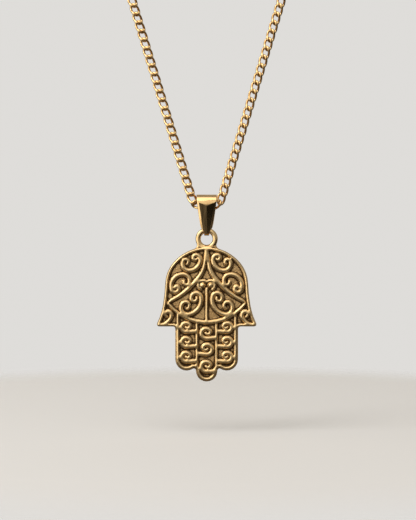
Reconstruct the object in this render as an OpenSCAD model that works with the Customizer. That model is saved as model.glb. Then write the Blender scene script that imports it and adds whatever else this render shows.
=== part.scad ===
// Hamsa pendant on a curb chain: a cast hand with raised scrolls, a folded bail and the whole loop.
// The front faces -Y. The origin is where the loop sits on the nape.

/* [Hand] */
// Width of the palm at the middle of its dome
palm_w = 21; // [18:0.5:26]
// Width over the three fingers
fingers_w = 15.8; // [14:0.1:17]
// Width of one outer finger
finger_w = 5.7; // [5:0.1:6.2]
// Length of the outer fingers below the thumbs
finger_l = 11.1; // [9:0.1:13]
// Length by which the middle finger passes its neighbours
middle_l = 2.9; // [2:0.1:4]
// Thickness of the plate, back to ground
plate_t = 1.2; // [0.9:0.1:2]
// Distance of the flat back behind the middle of the ring
plate_back = 0.69; // [0.5:0.01:1.1]
// Radius of the small inside corners of the outline
corner_r = 0.5; // [0.3:0.1:0.8]

/* [Relief] */
// Height of the raised lines above the ground
relief_h = 0.42; // [0.2:0.02:0.7]
// Width of the raised scrolls at their middle
line_w = 0.92; // [0.6:0.02:1]
// Width of the raised scrolls at their ends
line_end_w = 0.5; // [0.3:0.02:0.6]
// Width of the raised rim and of the straight raised lines
rim_w = 0.5; // [0.3:0.05:0.8]
// Step from the edge of the palm to its rim
palm_step = 0.18; // [0.1:0.02:0.4]
// Step from the edge of the fingers to their rim
finger_step = 0.42; // [0.2:0.02:0.6]
// Diameter of the two beads
bead_d = 1.45; // [0.8:0.05:1.5]

/* [Hanging ring] */
// Radius of the middle of the ring's wire
ring_r = 2.155; // [2:0.05:3]
// Diameter of the ring's wire
ring_wire = 1.37; // [1:0.05:1.5]
// Depth to which the ring is sunk in the top of the hand
ring_sink = 0.8; // [0.5:0.05:1.1]

/* [Bail] */
// Height of the bail over all
bail_h = 10.35; // [9:0.1:13]
// Width of the bail at its top fold
bail_w = 5.16; // [4.6:0.1:5.4]
// Width of the bail where it passes through the ring
nib_w = 1.3; // [0.8:0.05:1.4]
// Thickness of the strip that the bail is folded from
bail_t = 0.45; // [0.3:0.05:0.5]
// Inside radius of the top fold
fold_r = 2.1; // [1.7:0.05:2.3]
// Distance from the top of the bail down to where the crease in its front starts
crease_drop = 3.6; // [2.8:0.1:5]
// Degrees by which the two facets beside the crease slope back
facet_lean = 6; // [2:0.5:7]
// Degrees by which the crease sinks into the front leaf on its way down
crease_sink = 2; // [0.5:0.5:3]

/* [Chain] */
// Length of the whole loop, clasp and ring included
chain_l = 500; // [450:10:600]
// Width of the links
chain_w = 2.4; // [2:0.1:2.4]
// Thickness of the chain through its twisted links
chain_t = 1.8; // [1.4:0.1:1.9]
// Angle between each strand and the vertical
strand_lean = 16.8; // [12:0.2:22]
// Distance of the strands from the middle, if drawn on to the height of the chain in the bail
strand_x = 3.18; // [3:0.02:3.8]
// Radius of the chain where it turns up beside the bail
turn_r = 2.6; // [2:0.1:3]
// Height of the flat front of the loop, from the bail to where it leans back over the shoulders
front_h = 62; // [50:1:90]
// Radius of the lean over the shoulders
shoulder_r = 92; // [75:1:120]

/* [Clasp] */
// Length of the clasp and its ring along the loop
closure_l = 12; // [11:0.1:14]
// Radius of the middle of the clasp ring's wire
jump_r = 1.95; // [1.7:0.05:2.4]
// Diameter of the clasp ring's wire
jump_wire = 0.7; // [0.5:0.05:0.8]
// Width of the clasp
clasp_w = 4.4; // [4:0.1:5.5]
// Width and thickness of the clasp's frame
clasp_bar = 0.9; // [0.7:0.05:1]
// Radius of the middle of the clasp's eye
eye_r = 0.95; // [0.9:0.05:1.2]
// Diameter of the eye's wire
eye_wire = 0.6; // [0.4:0.05:0.7]

/* [Hidden] */
$fn = 64;

// Running clearance between the bail and the ring, and between the chain and what holds it
hinge_gap = 0.2;
chain_gap = 0.15;
// Reach of the fillets where raised lines meet
line_fillet = 0.06;
// Greatest height of an arc over the straight piece that stands for it, and greatest turn of one piece
arc_rise = 0.03;
arc_step = 24;
// Greatest length of one stretch of the chain's tube, and degrees of its turn beside the bail
tube_step = 7.2;
tube_turn = 15;
tube_sides = 12;

palm_r = palm_w / 2;
finger_r = finger_w / 2;

// Right half of the palm's edge, from the top of the dome to the thumb: [radius, turn], shares of palm_r
palm_edge = [[1.048, -50], [0.82, -38], [3.8, 8], [1.62, 16], [0.052, -116]];
dome_top = 1.03;
palm_half = arc_points([0, dome_top], 0, palm_edge, palm_r);
thumb_z = palm_half[len(palm_half) - 1][1];

// Heights in the pendant's own frame, from the middle of the palm's dome
ring_z = dome_top * palm_r + ring_r + ring_wire / 2 - ring_sink;
hang_z = ring_z + ring_r;
nib_r = ring_wire / 2 + hinge_gap;
bail_top = hang_z - nib_r - bail_t + bail_h;
fold_z = bail_top - bail_t - fold_r;
// The chain lies low enough for its inner side to pass the bail's top corners as it turns up
turn_x = strand_x - turn_r * tan((90 - strand_lean) / 2);
corner_x = min(bail_w / 2 + chain_gap - turn_x, turn_r - chain_w / 2 - 0.05);
corner_rise = turn_r - sqrt(pow(turn_r - chain_w / 2, 2) - pow(corner_x, 2));
chain_z = bail_top - bail_t - chain_gap - corner_rise;

// A path of arcs: start [x, z], heading in degrees, rows of [radius, turn], all lengths shares of unit
function arc_points(from, head, arcs, unit, row = 0) =
  row >= len(arcs) ? [from * unit] :
  let (
    r = arcs[row][0],
    turn = arcs[row][1],
    side = sign(turn),
    centre = from + side * r * [-sin(head), cos(head)],
    n = max(2, ceil(abs(turn) / min(arc_step, 2 * acos(1 - arc_rise / (r * unit))))),
    at = function(a) centre + side * r * [sin(head + a), -cos(head + a)]
  )
  concat(
    [for (i = [0 : n - 1]) at(turn * i / n) * unit],
    arc_points(at(turn), head + turn, arcs, unit, row + 1)
  );

// A raised line along a list of points, with round ends. It is widest in its middle, or else at its start.
module raised_line(points, most_w = line_w, widest_first = false) {
  last = len(points) - 1;
  along = [for (i = [0 : last]) points[min(i + 1, last)] - points[max(i - 1, 0)]];
  swell = [for (i = [0 : last]) widest_first ? cos(90 * i / last) : sin(180 * i / last)];
  width = [for (share = swell) line_end_w + (most_w - line_end_w) * share];
  side = [for (i = [0 : last]) [-along[i][1], along[i][0]] / norm(along[i]) * width[i] / 2];
  polygon(concat(
    [for (i = [0 : last]) points[i] + side[i]],
    [for (i = [last : -1 : 0]) points[i] - side[i]]
  ));
  for (end = [0, last]) translate(points[end]) circle(d = width[end], $fn = 12);
}

module both_sides() {
  children();
  mirror([1, 0]) children();
}

finger_end_z = thumb_z - finger_l + finger_r;
outer_x = fingers_w / 2 - finger_r;
// The middle finger shares its rims with its neighbours
middle_r = outer_x - finger_r + rim_w;

module palm_2d() {
  both_sides() polygon(concat(palm_half, [[0, thumb_z]]));
}

module fingers_2d() {
  both_sides() {
    translate([0, finger_end_z]) square([fingers_w / 2, thumb_z - finger_end_z + palm_r / 2]);
    translate([outer_x, finger_end_z]) circle(r = finger_r);
  }
  translate([-middle_r, finger_end_z - middle_l]) square([2 * middle_r, middle_l + finger_r]);
  translate([0, finger_end_z - middle_l]) circle(r = middle_r);
}

// Outline of the hand, its small inside corners rounded
module hand_2d() {
  offset(r = -corner_r, $fn = 24) offset(delta = corner_r) {
    palm_2d();
    fingers_2d();
  }
}

// Feet that widen the ring into the top of the dome
module ring_feet_2d() {
  foot_r = 1.1;
  foot_top = ring_z - ring_r / 2;
  wire_out = ring_r + ring_wire * 0.4;
  intersection() {
    translate([-palm_r, foot_top - palm_r]) square([palm_w, palm_r]);
    difference() {
      offset(r = -foot_r, $fn = 32) offset(delta = foot_r) {
        palm_2d();
        translate([0, ring_z]) circle(r = wire_out);
      }
      translate([0, ring_z]) circle(r = ring_r);
    }
  }
}

// Raised rim: a band inside the outline, from step to step + rim_w
module rim_2d(step) {
  difference() {
    offset(delta = -step) hand_2d();
    offset(delta = -step - rim_w) hand_2d();
  }
}

module rims_2d() {
  notch_z = thumb_z - corner_r;
  intersection() {
    rim_2d(palm_step);
    translate([-palm_w, notch_z]) square([2 * palm_w, 2 * palm_w]);
  }
  intersection() {
    rim_2d(finger_step);
    translate([-palm_w, notch_z - 2 * palm_w]) square([2 * palm_w, 2 * palm_w]);
  }
}

// Scrolls of the left half: start [x, z], heading, rows of [radius, turn], lengths as shares of palm_r
palm_scrolls = [
  [[-0.467, 0.619], 35, [[0.065, 210], [0.167, 120], [0.276, 80], [0.120, 80], [0.070, 140], [0.040, 120]]],
  [[-0.548, 0.200], -100, [[0.067, 165], [0.152, 110], [0.281, 115], [0.086, 200], [0.040, 165]]],
  [[-0.457, -0.448], 30, [[0.090, 190], [0.162, 150], [0.362, 90], [0.119, 190], [0.067, 185]]],
  [[-1.086, -0.824], 7, [[0.305, 55], [0.114, 70], [0.067, 205]]],
  [[-0.019, 0.957], -92, [[3.140, -6], [0.686, -28], [1.857, -27], [0.524, 8]]]
];
// The thin line around the left bead, in the same way
bead_loop = [[-0.010, 0.197], 135, [[0.114, 200]]];
// Lower edge of the almond in the palm: height of the arc's centre, its radius and half its turn
almond_z = 0.388;
almond_r = 1.162;
almond_turn = 52.2;
almond_end = [-almond_r * sin(almond_turn), almond_z - almond_r * cos(almond_turn)];
// Top of the line down the almond's middle
middle_top = 0.05;
bead_at = [0.092, 0.116];

// One curl of a finger, around its own middle, its tail to the lower right: shares of finger_r
curl_start = [0.68, -0.388];
curl_head = 188;
curl_arcs = [[5.2, -8], [0.4, -230], [0.2, -190]];
// Curls down a finger: heights as shares of the finger's length above and below the thumbs
outer_curls = [-0.01, -0.345, -0.68];
middle_curls = [-0.145, -0.505, -0.895];
// Size of the middle finger's curls beside the outer ones
middle_size = 1.1;

module curl_2d(x, z, way, size) {
  translate([x, z]) scale([way, 1])
    raised_line(arc_points(curl_start, curl_head, curl_arcs, size), widest_first = true);
}

module relief_2d() {
  both_sides() {
    for (row = palm_scrolls) raised_line(arc_points(row[0], row[1], row[2], palm_r));
    raised_line(arc_points(bead_loop[0], bead_loop[1], bead_loop[2], palm_r), rim_w);
    // Dividers down to the notches between the fingers, and the fingers' outer sides, up to the almond
    divider_x = outer_x - finger_r + rim_w / 2;
    side_x = fingers_w / 2 - finger_step - rim_w / 2;
    notch_z = finger_end_z - sqrt(pow(finger_r, 2) - pow(outer_x - middle_r, 2));
    for (x = [divider_x, side_x]) {
      top_z = palm_r * almond_z - sqrt(pow(palm_r * almond_r, 2) - x * x);
      bottom_z = x == side_x ? thumb_z - corner_r - rim_w : notch_z;
      translate([x - rim_w / 2, bottom_z]) square([rim_w, top_z - bottom_z]);
    }
    for (h = outer_curls) curl_2d(-outer_x, thumb_z + h * finger_l, 1, finger_r);
  }
  for (i = [0 : len(middle_curls) - 1])
    curl_2d(0, thumb_z + middle_curls[i] * finger_l, i == 1 ? -1 : 1, finger_r * middle_size);
  raised_line(arc_points(almond_end, -almond_turn, [[almond_r, 2 * almond_turn]], palm_r));
  translate([-rim_w / 2, (almond_z - almond_r) * palm_r])
    square([rim_w, (middle_top - almond_z + almond_r) * palm_r]);
  rims_2d();
}

// Upright in the pendant's frame: a drawing's y becomes the height, and it rises towards the front
module upright(back_y) {
  translate([0, back_y, 0]) rotate([90, 0, 0]) children();
}

module hamsa_hand() {
  color([0.80, 0.62, 0.40]) seated() {
    upright(plate_back) linear_extrude(plate_t) {
      hand_2d();
      ring_feet_2d();
    }
    // The lines are one drawing, clipped to the plate, their inside corners softened
    upright(plate_back - plate_t * 0.75) linear_extrude(plate_t * 0.25 + relief_h)
      intersection() {
        offset(delta = -line_fillet) offset(delta = line_fillet) relief_2d();
        hand_2d();
      }
    for (side = [-1, 1])
      translate([side * bead_at[0] * palm_r, plate_back - plate_t, bead_at[1] * palm_r])
        sphere(d = bead_d);
    translate([0, 0, ring_z]) rotate([90, 0, 0])
      rotate_extrude() translate([ring_r, 0]) circle(d = ring_wire);
  }
}

// Lean of the bail's two leaves, which are tangents to its folds
leaf_lean = asin((fold_r - nib_r) / (fold_z - hang_z));

// Side outline of the folded strip, grown inwards to thickness t: two folds and the leaves between
module fold_2d(t) {
  top = fold_r + bail_t - t;
  low = nib_r + bail_t - t;
  translate([0, fold_z]) circle(r = top);
  translate([0, hang_z]) circle(r = low);
  polygon([
    [top * cos(leaf_lean), fold_z - top * sin(leaf_lean)],
    [-top * cos(leaf_lean), fold_z - top * sin(leaf_lean)],
    [-low * cos(leaf_lean), hang_z - low * sin(leaf_lean)],
    [low * cos(leaf_lean), hang_z - low * sin(leaf_lean)]
  ]);
}

// Half width down the front of the bail: [share of its height from the top, share of its half width]
bail_taper = [[0, 1], [0.21, 0.94], [0.325, 0.885], [0.52, 0.775], [0.71, 0.65], [0.8, 0.56]];
// The same down to the nib, as a share of the nib's half width
nib_taper = [[0.86, 1.6], [0.9, 1]];

module bail_front_2d() {
  half = concat(
    [[bail_w / 2, bail_top + bail_t]],
    [for (row = bail_taper) [row[1] * bail_w / 2, bail_top - row[0] * bail_h]],
    [for (row = nib_taper) [row[1] * nib_w / 2, bail_top - row[0] * bail_h]],
    [[nib_w / 2, bail_top - bail_h - bail_t]]
  );
  polygon(concat(half, [for (i = [len(half) - 1 : -1 : 0]) [-half[i][0], half[i][1]]]));
}

// What two flat facets take off the front leaf, left and right of a crease down its middle
module facet_cuts() {
  below_fold = fold_z - bail_top + crease_drop;
  front_y = (fold_r + bail_t - below_fold * sin(leaf_lean)) / cos(leaf_lean);
  translate([0, -front_y, bail_top - crease_drop]) rotate([leaf_lean + crease_sink, 0, 0])
    for (side = [-1, 1])
      rotate([0, 0, side * facet_lean])
        translate([-bail_w, -bail_w, -bail_h]) cube([2 * bail_w, bail_w, 2 * bail_h]);
}

module bail() {
  color([0.86, 0.69, 0.46]) seated() difference() {
    intersection() {
      rotate([90, 0, 90]) linear_extrude(bail_w * 1.2, center = true) difference() {
        fold_2d(0);
        fold_2d(bail_t);
      }
      upright(fold_r * 2) linear_extrude(fold_r * 4) bail_front_2d();
    }
    facet_cuts();
  }
}

// The loop, drawn flat first: along the bail, a turn up, the straight strand, and an arc over the nape
turn_up = 90 - strand_lean;
turn_l = turn_r * turn_up * PI / 180;
turned_x = turn_x + turn_r * sin(turn_up);
turned_z = turn_r * (1 - cos(turn_up));
open_l = chain_l / 2 - closure_l / 2 - turn_x - turn_l;
nape_turn = (180 - turn_up) * PI / 180;
strand_l = (closure_l / 2 - turned_x + open_l * sin(turn_up) / nape_turn)
  / (cos(turn_up) + sin(turn_up) / nape_turn);
nape_r = (open_l - strand_l) / nape_turn;
half_l = chain_l / 2 - closure_l / 2;

// Place on the flat loop at length s from the middle of the bail: [x, height, heading]
function flat_at(s) =
  s < turn_x ? [s, 0, 0] :
  s < turn_x + turn_l ? let (a = (s - turn_x) / turn_r * 180 / PI)
    [turn_x + turn_r * sin(a), turn_r * (1 - cos(a)), a] :
  let (
    run = min(s - turn_x - turn_l, strand_l),
    a = turn_up + max(0, s - turn_x - turn_l - strand_l) / nape_r * 180 / PI
  )
  [
    turned_x + run * cos(turn_up) + nape_r * (sin(a) - sin(turn_up)),
    turned_z + run * sin(turn_up) + nape_r * (cos(turn_up) - cos(a)),
    a
  ];

// Lean of the loop at a flat height, and the place that the height bends to: [y, z]
function lean_at(h) = max(0, h - front_h) / shoulder_r * 180 / PI;
function bent(h) = let (a = lean_at(h))
  [shoulder_r * (1 - cos(a)), chain_z + min(h, front_h) + shoulder_r * sin(a)];

nape_h = flat_at(half_l)[1];
nape_at = [0, bent(nape_h)[0], bent(nape_h)[1]];

// From the pendant's frame to the nape's
module seated() {
  translate(-nape_at) children();
}

// Lengths along one half of the loop at which its tube has a ring
turn_rings = ceil(turn_up / tube_turn);
run_rings = ceil(open_l / tube_step);
ring_lengths = concat(
  [0],
  [for (i = [0 : turn_rings]) turn_x + turn_l * i / turn_rings],
  [for (i = [1 : run_rings]) turn_x + turn_l + (open_l - chain_gap) * i / run_rings]
);

// One half of the chain as a plain oval tube of the links' outer size; way is 1 or -1
module half_chain(way) {
  rings = [for (s = ring_lengths)
    let (p = flat_at(s), lean = lean_at(p[1]), q = bent(p[1]))
    [for (k = [0 : tube_sides - 1])
      let (
        a = way * k * 360 / tube_sides,
        across = chain_w / 2 * cos(a),
        proud = chain_t / 2 * sin(a),
        up = across * cos(p[2])
      )
      [
        way * (p[0] - across * sin(p[2])),
        q[0] + up * sin(lean) - proud * cos(lean),
        q[1] + up * cos(lean) + proud * sin(lean)
      ]
    ]
  ];
  last = len(rings) - 1;
  polyhedron(
    [for (ring = rings) for (p = ring) p],
    concat(
      [[for (k = [0 : tube_sides - 1]) k]],
      [for (i = [0 : last - 1]) for (k = [0 : tube_sides - 1])
        let (m = (k + 1) % tube_sides)
        [i * tube_sides + k, (i + 1) * tube_sides + k, (i + 1) * tube_sides + m, i * tube_sides + m]
      ],
      [[for (k = [tube_sides - 1 : -1 : 0]) last * tube_sides + k]]
    )
  );
}

module chain_left() {
  color([0.84, 0.66, 0.42]) seated() half_chain(-1);
}

module chain_right() {
  color([0.84, 0.66, 0.42]) seated() half_chain(1);
}

// On the nape: x along the loop, y along the neck, z out of its surface
module at_nape() {
  rotate([90 - lean_at(nape_h), 0, 0]) children();
}

eye_x = -closure_l / 2 + eye_r + eye_wire / 2;
jump_x = closure_l / 2 - jump_r - jump_wire / 2;
clasp_end = jump_x - jump_r + jump_wire / 2 + hinge_gap + clasp_bar;
clasp_start = eye_x + eye_r;

module clasp() {
  bow_r = clasp_w / 2;
  color([0.84, 0.66, 0.42]) at_nape() {
    linear_extrude(clasp_bar, center = true) difference() {
      clasp_2d(bow_r);
      clasp_2d(bow_r - clasp_bar);
    }
    translate([eye_x, 0, 0]) rotate([90, 0, 0])
      rotate_extrude() translate([eye_r, 0]) circle(d = eye_wire);
  }
}

module clasp_2d(r) {
  inset = clasp_w / 2 - r;
  translate([clasp_end - clasp_w / 2, 0]) circle(r = r);
  translate([clasp_start + clasp_w / 2, 0]) circle(r = r);
  translate([clasp_start + clasp_w / 2, -r])
    square([clasp_end - clasp_start - clasp_w, 2 * r]);
}

module clasp_ring() {
  color([0.84, 0.66, 0.42]) at_nape() translate([jump_x, 0, 0]) rotate([90, 0, 0])
    rotate_extrude() translate([jump_r, 0]) circle(d = jump_wire);
}

hamsa_hand();
bail();
chain_left();
chain_right();
clasp();
clasp_ring();
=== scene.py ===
# The look of a hamsa pendant on its curb chain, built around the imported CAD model.
import math

import bmesh
import bpy
from mathutils import Matrix, Vector


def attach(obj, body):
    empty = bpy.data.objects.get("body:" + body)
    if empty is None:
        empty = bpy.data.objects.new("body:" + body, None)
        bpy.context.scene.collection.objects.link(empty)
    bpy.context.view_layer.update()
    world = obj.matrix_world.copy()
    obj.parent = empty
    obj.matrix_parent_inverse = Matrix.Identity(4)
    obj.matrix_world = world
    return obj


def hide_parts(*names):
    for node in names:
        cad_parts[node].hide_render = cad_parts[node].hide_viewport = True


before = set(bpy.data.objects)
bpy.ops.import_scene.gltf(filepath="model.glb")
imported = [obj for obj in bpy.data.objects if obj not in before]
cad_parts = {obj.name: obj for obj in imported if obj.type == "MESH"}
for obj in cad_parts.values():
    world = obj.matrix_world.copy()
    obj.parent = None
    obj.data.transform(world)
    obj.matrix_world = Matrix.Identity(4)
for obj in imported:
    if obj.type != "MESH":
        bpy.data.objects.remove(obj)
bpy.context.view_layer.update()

# Camera. It stands level with the upper part of the hand and straight in front of it, as the photograph's does.
# The photograph takes in 131 mm of height at the hand, which an 85 mm lens sees from 309 mm away.
MM = 0.001
palm_at = Vector((0, -94.378, -175.165)) * MM  # middle of the palm's dome, front to back the middle of the ring's wire
camera = bpy.data.objects.new("camera", bpy.data.cameras.new("camera"))
bpy.context.scene.collection.objects.link(camera)
camera.data.lens = 85
camera.data.clip_start = 10 * MM
camera.location = palm_at + Vector((0.33, -309, 7.55)) * MM
camera.rotation_euler = (math.radians(90), 0, 0)
bpy.context.scene.camera = camera

# The hand: one casting, plate, rims, scrolls, beads and hanging ring together. The mould leaves the lines rounded
# and the ground between them grainy. The lines are polished afterwards, and the ground keeps its dark patina.
# Its colour also holds painted shade in the hollows beside the lines and a painted highlight on the lines.
HAND_VOXEL = 0.138 * MM
HAND_SOFTENING = 9  # smoothing passes that round the cast edges
RELIEF_REGAIN = 1.25  # share by which the softened lines are raised to their height again
HAND_BROAD = 14  # further passes, which give the broad form that tells a hollow from a ridge
HOLLOW_DEPTH = 0.08 * MM  # depth below the broad form that counts as 1
GROUND_Y = palm_at.y - 0.51 * MM
RELIEF = 0.42 * MM
BACK_FROM, BACK_AT = palm_at.y + 0.55 * MM, palm_at.y + 0.66 * MM
DOME_TOP = palm_at.z + 10.9 * MM
RING_FOOT = DOME_TOP + 0.4 * MM  # above this the casting is the ring, which has no grainy ground
GRAIN, PITS, WEAR = 0.42 * MM, 0.16 * MM, 3.5 * MM  # how far across their blotches are
GRAIN_DEPTH = 0.16 * MM
PATINA_AND_SHADE_MOST = 0.96
GOLD = (0.84, 0.59, 0.28, 1)
GOLD_DEEP = (0.60, 0.33, 0.12, 1)
# a lighter gold for the raised lines: rubbed bright by wear, and a painted highlight on them as well
GOLD_RUBBED_AND_HIGHLIT = (0.90, 0.66, 0.34, 1)
# the patina's dark brown, which also serves as painted shade in the hollows beside the lines
PATINA_AND_SHADE = (0.035, 0.015, 0.005, 1)


def solid_copy(node):
    """A CAD node's solid as a mesh of its own, with its loose triangles joined."""
    solid = bmesh.new()
    solid.from_mesh(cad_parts[node].data)
    bmesh.ops.remove_doubles(solid, verts=solid.verts, dist=0.001 * MM)
    return solid


def shown(name, solid, material):
    """The object that shows a finished mesh."""
    mesh = bpy.data.meshes.new(name)
    solid.to_mesh(mesh)
    solid.free()
    mesh.materials.append(material)
    made = bpy.data.objects.new(name, mesh)
    bpy.context.scene.collection.objects.link(made)
    return made


def smooth(skin, passes):
    for _ in range(passes):
        bmesh.ops.smooth_vert(skin, verts=skin.verts, factor=0.5, use_axis_x=True, use_axis_y=True, use_axis_z=True)


def soft_cast(solid, voxel, passes):
    """The solid as a cast skin of small even faces, its edges rounded by smoothing."""
    rough = shown("rough", solid, None)
    remesh = rough.modifiers.new("skin", "REMESH")
    remesh.mode = "VOXEL"
    remesh.voxel_size = voxel
    skin = bmesh.new()
    skin.from_object(rough, bpy.context.evaluated_depsgraph_get())
    bpy.data.objects.remove(rough)
    smooth(skin, passes)
    for face in skin.faces:
        face.smooth = True
    return skin


class Wire:
    """A socket among a shader's nodes. Sums written on it add the Math nodes."""

    def __init__(self, nodes, socket):
        self.nodes = nodes
        self.socket = socket

    def maths(self, operation, *others):
        values = dict(enumerate([self, *others]))
        return self.nodes.node("ShaderNodeMath", {"operation": operation}, values)

    def __add__(self, other): return self.maths("ADD", other)
    def __mul__(self, other): return self.maths("MULTIPLY", other)
    def __truediv__(self, other): return self.maths("DIVIDE", other)
    def __rsub__(self, other): return self.nodes.node("ShaderNodeMath", {"operation": "SUBTRACT"}, {0: other, 1: self})

    def step(self, low, high):
        """0 at low, 1 at high and smooth between them. Low may be the larger one."""
        values = {"Value": self, "From Min": low, "From Max": high}
        return self.nodes.node("ShaderNodeMapRange", {"interpolation_type": "SMOOTHSTEP"}, values)


class Nodes:
    """The nodes of a material or of the world, added one at a time."""

    def __init__(self, owner):
        owner.use_nodes = True
        self.tree = owner.node_tree

    def node(self, kind, settings=None, values=None, output=0):
        made = self.tree.nodes.new(kind)
        for name, value in (settings or {}).items():
            setattr(made, name, value)
        for socket, value in (values or {}).items():
            self.put(made.inputs[socket], value)
        return Wire(self, made.outputs[output])

    def put(self, socket, value):
        if isinstance(value, Wire):
            self.tree.links.new(value.socket, socket)
        else:
            socket.default_value = value


class Finish(Nodes):
    """A surface's finish, whose detail is placed on the object."""

    def __init__(self, name):
        self.material = bpy.data.materials.new(name)
        super().__init__(self.material)
        self.shader = self.tree.nodes["Principled BSDF"]

    def place(self):
        return self.node("ShaderNodeTexCoord", output="Object")

    def noise(self, size, detail=2.0, roughness=0.5):
        """Noise from 0 to 1 whose blotches are about size across."""
        values = {"Vector": self.place(), "Scale": 1 / size, "Detail": detail, "Roughness": roughness}
        return self.node("ShaderNodeTexNoise", None, values)

    def mix(self, share, low, high):
        """A colour between low and high."""
        return self.node("ShaderNodeMix", {"data_type": "RGBA"}, {0: share, 6: low, 7: high}, 2)

    def bump(self, strength, depth, height):
        return self.node("ShaderNodeBump", None, {"Strength": strength, "Distance": depth, "Height": height})

    def surface(self, **values):
        for name, value in values.items():
            self.put(self.shader.inputs[name.replace("_", " ").title()], value)
        return self.material


def hand_finish():
    cast = Finish("cast_gold")
    across = cast.node("ShaderNodeSeparateXYZ", None, {0: cast.place()}, "Y")
    height = cast.node("ShaderNodeSeparateXYZ", None, {0: cast.place()}, "Z")
    hollow = cast.node("ShaderNodeAttribute", {"attribute_name": "hollow"}, output="Fac")
    rise = (GROUND_Y - across) / RELIEF
    back = across.step(BACK_FROM, BACK_AT)
    ground = (1 - rise.step(0.2, 0.75)) * (1 - back) * height.step(RING_FOOT, DOME_TOP)
    grain = cast.noise(GRAIN, 3.0, 0.65)
    pits = cast.noise(PITS, 1.0)
    worn = cast.noise(WEAR)
    # Dark in the hollows beside the lines: partly the casting's patina, partly painted shade. The ground's grain adds
    # real specks.
    patina_and_shade = hollow.step(0.14, 0.56) * PATINA_AND_SHADE_MOST + ground * grain.step(0.50, 0.36) * 0.5
    patina_and_shade = patina_and_shade.maths("MINIMUM", PATINA_AND_SHADE_MOST)
    warm = cast.mix(worn.step(0.35, 0.65) * 0.25 + ground * 0.3, GOLD, GOLD_DEEP)
    # The raised lines are lighter: partly gold rubbed bright, partly a painted highlight on their tops.
    warm = cast.mix(hollow.step(-0.1, -0.9) * (1 - back), warm, GOLD_RUBBED_AND_HIGHLIT)
    return cast.surface(
        base_color=cast.mix(patina_and_shade, warm, PATINA_AND_SHADE),
        metallic=1.0,
        roughness=ground * 0.14 + patina_and_shade * 0.2 + worn * 0.06 + 0.19,
        normal=cast.bump(0.8, GRAIN_DEPTH, (grain * 0.7 + pits * 0.3) * (ground * 0.88 + 0.12)),
    )


skin = soft_cast(solid_copy("hamsa_hand"), HAND_VOXEL, HAND_SOFTENING)
for v in skin.verts:
    if v.co.y < GROUND_Y and v.co.z < DOME_TOP:
        v.co.y = GROUND_Y + (v.co.y - GROUND_Y) * RELIEF_REGAIN
hollow = skin.verts.layers.float.new("hollow")
skin.normal_update()
fine = [(v, v.co.copy(), v.normal.copy()) for v in skin.verts]
smooth(skin, HAND_BROAD)
for v, place, outward in fine:
    v[hollow] = (v.co - place).dot(outward) / HOLLOW_DEPTH
    v.co = place
hand = shown("hand_casting", skin, hand_finish())
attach(hand, "hand")
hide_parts("hamsa_hand")

# The bail: a strip of polished metal folded over the chain and closed through the hanging ring. Two flat facets
# meet in a crease down its front, two more run down its sides, and its edges are broken by polishing.
BAIL_GOLD = (0.90, 0.62, 0.30, 1)
FLAT_TOP = (1.98, 21.85)  # where the side flats start on the front: x and height in mm
FLAT_END = (1.04, 15.75)
FLAT_LEAN = math.radians(19)
NIB_Z = palm_at.z + 14.9 * MM  # below this the strip is the nib in the ring
NIB_CORNER, NIB_EDGE = math.radians(60), 0.15 * MM  # sharper corners than this are rounded, this wide
BAIL_CORNER, BAIL_EDGE = math.radians(16), 0.07 * MM
BAIL_FLAT = 1.5 * MM * MM  # larger faces are facets and stay flat
SAME_PLANE = math.radians(1)
DRAWN = (2.2, 1.0, 0.28)  # the polishing waves are drawn out along the strip
SMEARS, WAVES, WAVE_DEPTH = 2.2 * MM, 1.6 * MM, 0.05 * MM


def bail_finish():
    polish = Finish("polished_gold")
    smears = polish.noise(SMEARS, 3.0)
    drawn = polish.node("ShaderNodeVectorMath", {"operation": "MULTIPLY"}, {0: polish.place(), 1: DRAWN})
    waves = polish.node("ShaderNodeTexNoise", None, {"Vector": drawn, "Scale": 1 / WAVES, "Detail": 1.0})
    return polish.surface(
        base_color=polish.mix(smears.step(0.3, 0.7) * 0.3, BAIL_GOLD, GOLD_DEEP),
        metallic=1.0,
        roughness=smears * 0.1 + 0.1,
        normal=polish.bump(1.0, WAVE_DEPTH, waves),
    )


def join_flat_faces(solid):
    bmesh.ops.dissolve_limit(solid, angle_limit=SAME_PLANE, verts=solid.verts, edges=solid.edges)
    solid.normal_update()


def round_corners(solid, edges, width, segments):
    bmesh.ops.bevel(solid, geom=edges, offset=width, segments=segments, profile=0.5, affect="EDGES", material=-1)


def top_of(edge):
    return max(v.co.z for v in edge.verts)


strip = solid_copy("bail")
join_flat_faces(strip)
for side in (1, -1):
    fronts = [f for f in strip.faces if side * f.normal.x > 0.05 and f.normal.y < -0.8]
    facet = max(fronts, key=lambda f: f.calc_area())
    outward = facet.normal.copy()
    start, end = (palm_at + Vector((side * x, 0, z)) * MM for x, z in (FLAT_TOP, FLAT_END))
    for point in (start, end):
        point.y += outward.dot(facet.verts[0].co - point) / outward.y
    outward = Matrix.Rotation(-side * FLAT_LEAN, 3, end - start) @ outward
    everything = strip.verts[:] + strip.edges[:] + strip.faces[:]
    bmesh.ops.bisect_plane(strip, geom=everything, plane_co=start, plane_no=outward, clear_outer=True)
    bmesh.ops.holes_fill(strip, edges=[e for e in strip.edges if e.is_boundary])
join_flat_faces(strip)
ends = [e for e in strip.edges if e.calc_face_angle(0) > NIB_CORNER and top_of(e) < NIB_Z]
round_corners(strip, ends, NIB_EDGE, 3)
corners = [e for e in strip.edges if e.calc_face_angle(0) > BAIL_CORNER and top_of(e) > NIB_Z]
round_corners(strip, corners, BAIL_EDGE, 2)
for face in strip.faces:
    face.smooth = face.calc_area() < BAIL_FLAT
bail = shown("bail_strip", strip, bail_finish())
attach(bail, "bail")
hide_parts("bail")

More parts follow.
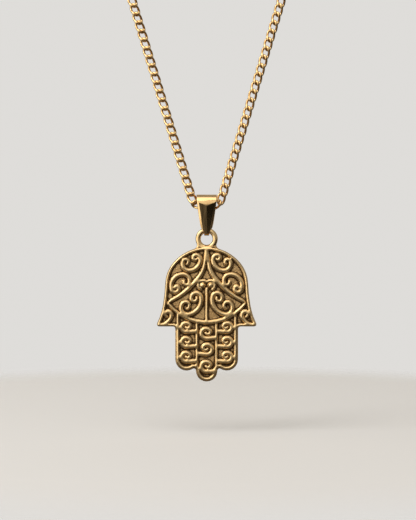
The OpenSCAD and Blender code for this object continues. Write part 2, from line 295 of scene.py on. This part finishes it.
# The chain: a curb chain of round wire. Each link is an oval ring, closed and twisted so that the links lie flat in
# one another. The middle link hangs in the bail, and 108 more run up each side to the clasp behind the neck.
LINK_SEGMENTS = 12
LINK_SIDES = 6
LINK_L, LINK_W = 3.04 * MM, 1.72 * MM  # length and width of a link at the middle of its wire
LINK_RISE = 0.7 * MM  # height by which the twist lifts one side of each end, and sinks the other
LINK_TWIST = 2.9  # how early along the link its twist is complete
LINK_TURN = math.radians(10)  # how far a link lies askew in the chain
WIRE_D = 0.68 * MM
# Subdividing draws a wire's section and a link's round in by these shares, so both are made larger by them
WIRE_DRAWN, LINK_DRAWN = 0.84, 0.955
LINKS = 108
# The loop's measures, in mm but for the turn's angle: its whole length and its closure's, the turn in the bail, the
# height of the chain there, the flat height on the chest, the shoulders' curve, the straight strand and the nape's
CHAIN_L, CLOSURE_L = 500.0, 12.0
TURN_X, TURN_R, TURN_UP = 1.24907, 2.6, math.radians(73.2)
CHAIN_Z, FRONT_H, SHOULDER_R = 21.1958, 62.0, 92.0
STRAND_L, NAPE_R = 156.026, 44.7442
TONES, MARKS, MARK_DEPTH = 1.6 * MM, 0.2 * MM, 0.02 * MM


def flat_route(s):
    """Place x, h on the loop drawn flat, s along it from the middle of the bail."""
    turn_l = TURN_R * TURN_UP
    if s < TURN_X:
        return s, 0.0
    if s < TURN_X + turn_l:
        a = (s - TURN_X) / TURN_R
        return TURN_X + TURN_R * math.sin(a), TURN_R * (1 - math.cos(a))
    run = s - TURN_X - turn_l
    a = TURN_UP + max(0.0, run - STRAND_L) / NAPE_R
    run = min(run, STRAND_L)
    x = TURN_X + TURN_R * math.sin(TURN_UP) + run * math.cos(TURN_UP) + NAPE_R * (math.sin(a) - math.sin(TURN_UP))
    h = TURN_R * (1 - math.cos(TURN_UP)) + run * math.sin(TURN_UP) + NAPE_R * (math.cos(TURN_UP) - math.cos(a))
    return x, h


def on_route(s):
    """Place on the worn loop, and the direction out of its surface there."""
    x, h = flat_route(abs(s))
    lean = max(0.0, h - FRONT_H) / SHOULDER_R
    y = SHOULDER_R * (1 - math.cos(lean))
    z = CHAIN_Z + min(h, FRONT_H) + SHOULDER_R * math.sin(lean)
    return palm_at + Vector((math.copysign(x, s), y, z)) * MM, Vector((0, -math.cos(lean), math.sin(lean)))


def twisted_link():
    """One link, its length along X and its width along Y: a ring of wire, drawn out to an oval and twisted."""
    half_l, half_w, wire_r = LINK_L / 2 / LINK_DRAWN, LINK_W / 2 / LINK_DRAWN, WIRE_D / 2 / WIRE_DRAWN
    ring = bmesh.new()
    section = bmesh.ops.create_circle(
        ring, segments=LINK_SIDES, radius=wire_r,
        matrix=Matrix.Translation((half_w, 0, 0)) @ Matrix.Rotation(math.radians(90), 4, "X"),
    )
    bmesh.ops.spin(
        ring, geom=section["verts"] + ring.edges[:], cent=(0, 0, 0), axis=(0, 0, 1), dvec=(0, 0, 0),
        angle=math.tau, steps=LINK_SEGMENTS, use_merge=True,
    )
    for v in ring.verts:
        around = math.atan2(v.co.y, v.co.x)
        c, s = math.cos(around), math.sin(around)
        middle = Vector((c, s, 0)) * half_w
        twist = -math.sin(math.radians(90) * max(-1.0, min(1.0, LINK_TWIST * c)))
        tilt = Matrix.Rotation(twist * math.atan(LINK_RISE / half_w), 3, "X")
        v.co = Vector((half_l * c, half_w * s, LINK_RISE * s * twist)) + tilt @ (v.co - middle)
    bmesh.ops.rotate(ring, verts=ring.verts, cent=(0, 0, 0), matrix=Matrix.Rotation(LINK_TURN, 3, "Z"))
    bmesh.ops.recalc_face_normals(ring, faces=ring.faces)
    for face in ring.faces:
        face.smooth = True
    return ring


def chain_finish():
    wire = Finish("chain_gold")
    tone = wire.noise(TONES, 2.0)
    marks = wire.noise(MARKS, 2.0)
    return wire.surface(
        base_color=wire.mix(tone.step(0.3, 0.7) * 0.5, GOLD, GOLD_DEEP),
        metallic=1.0,
        roughness=tone * 0.08 + marks * 0.05 + 0.12,
        normal=wire.bump(0.1, MARK_DEPTH, marks),
    )


link = bpy.data.meshes.new("link")
one = twisted_link()
one.to_mesh(link)
one.free()
pitch = (CHAIN_L / 2 - CLOSURE_L / 2 - 0.4) / LINKS  # the last link's middle is 0.4 mm short of the closure
chain_gold = chain_finish()
for name, node, numbers in (
    ("links_left", "chain_left", range(-LINKS, 0)), ("links_right", "chain_right", range(0, LINKS + 1)),
):
    strand = bmesh.new()
    for number in numbers:
        centre, out = on_route(number * pitch)
        start, _ = on_route((number - 0.5) * pitch)
        end, _ = on_route((number + 0.5) * pitch)
        along = (end - start).normalized()
        across = out.cross(along).normalized()
        out = along.cross(across)
        centre = (centre + (start + end) / 2) / 2
        turned = Matrix((along, across, out)).transposed().to_4x4()
        before = len(strand.verts)
        strand.from_mesh(link)
        strand.verts.ensure_lookup_table()
        bmesh.ops.transform(strand, matrix=Matrix.Translation(centre) @ turned, verts=strand.verts[before:])
    links = shown(name, strand, chain_gold)
    rounding = links.modifiers.new("rounding", "SUBSURF")
    rounding.levels = rounding.render_levels = 1
    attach(links, "loop")
    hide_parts(node)

# The closure behind the neck: a plain wire clasp, soldered to a small eye, and the jump ring that it hooks into.
# Both are drawn wire with soft edges, in the chain's metal.
CLASP_VOXEL = 0.09 * MM
CLASP_SOFTENING = 3
for name, node in (("clasp_wire", "clasp"), ("jump_ring", "clasp_ring")):
    made = shown(name, soft_cast(solid_copy(node), CLASP_VOXEL, CLASP_SOFTENING), chain_gold)
    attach(made, "loop")
    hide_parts(node)

# The studio: a pale floor under the pendant, a pale background, and a soft ceiling light from the front and left.
# The floor fades into the background at its edge, and throws little light back on the metal.
FLOOR_AT = palm_at + Vector((0, 38, -36)) * MM
FLOOR_R = 163 * MM
FLOOR_FADE = 55 * MM
PALE = (0.80, 0.785, 0.76, 1)
DIM = (0.13, 0.12, 0.11, 1)  # the floor as the metal sees it
BACKGROUND = 0.92
BRIGHT_SIDE = Vector((-0.66, -0.38, 0.65))  # where the room is brightest
FILL_SIDE = Vector((0.8, -0.42, 0.42))  # a fainter light from the right
LEFT_SIDE = Vector((-0.86, -0.5, -0.12))  # a low light from the left
REAR_SIDE = Vector((0.25, 0.96, 0.1))  # a light that only the back faces
LENS_SIDE = Vector((0, -0.9, -0.43))  # the dark below the camera
ROOM_TONE = (1.0, 0.955, 0.89, 1)


def floor_finish():
    paper = Finish("floor_paper")
    spread = paper.node("ShaderNodeVectorMath", {"operation": "DISTANCE"}, {0: paper.place(), 1: FLOOR_AT}, "Value")
    seen = paper.node("ShaderNodeLightPath", output="Is Camera Ray")
    return paper.surface(
        base_color=paper.mix(seen, DIM, PALE), roughness=0.9, alpha=spread.step(FLOOR_R, FLOOR_R - FLOOR_FADE)
    )


disc = bmesh.new()
bmesh.ops.create_circle(disc, cap_ends=True, segments=96, radius=FLOOR_R, matrix=Matrix.Translation(FLOOR_AT))
shown("floor", disc, floor_finish())

bpy.context.scene.world = bpy.data.worlds.new("studio")
room = Nodes(bpy.context.scene.world)
way = room.node("ShaderNodeTexCoord", output="Generated")


def facing(side):
    """How nearly a direction in the room points to a side: 1 straight at it, and -1 away from it."""
    return room.node("ShaderNodeVectorMath", {"operation": "DOT_PRODUCT"}, {0: way, 1: side}, "Value")


upper = facing((0, 0, 1)).step(-0.3, 0.15) * 0.14
key = facing(BRIGHT_SIDE).step(0.08, 0.6) * 0.85
fill = facing(FILL_SIDE).step(0.85, 0.95) * 0.3
left = facing(LEFT_SIDE).step(0.85, 0.95) * 0.9
front = facing((0, -1, 0)).step(-0.3, 0.0) * 0.75 + 0.25
rear = facing(REAR_SIDE).step(0.4, 0.9) * 0.5
lens = facing(LENS_SIDE).step(0.86, 0.95) * 0.6
glow = (upper + key + fill + left + 0.015) * front * (1 - lens) + rear
seen = room.node("ShaderNodeLightPath", output="Is Camera Ray")
lit = room.node("ShaderNodeBackground", None, {"Color": ROOM_TONE, "Strength": glow})
paper = room.node("ShaderNodeBackground", None, {"Color": PALE, "Strength": BACKGROUND})
surface = room.tree.nodes["World Output"].inputs["Surface"]
room.put(surface, room.node("ShaderNodeMixShader", None, {0: seen, 1: lit, 2: paper}))

# Where each lamp stands from the palm and how wide its square is, in mm, and its power in watts
for name, place, size, power in (
    ("key", (-480, -300, 470), 380, 1.7),
    ("top", (-60, -240, 520), 420, 0.45),
):
    light = bpy.data.lights.new(name, "AREA")
    light.shape = "SQUARE"
    light.size = size * MM
    light.energy = power
    holder = bpy.data.objects.new(name, light)
    bpy.context.scene.collection.objects.link(holder)
    holder.location = palm_at + Vector(place) * MM
    holder.rotation_euler = (palm_at - holder.location).to_track_quat("-Z", "Y").to_euler()
    holder.visible_camera = False

bpy.context.scene.view_settings.view_transform = "Standard"
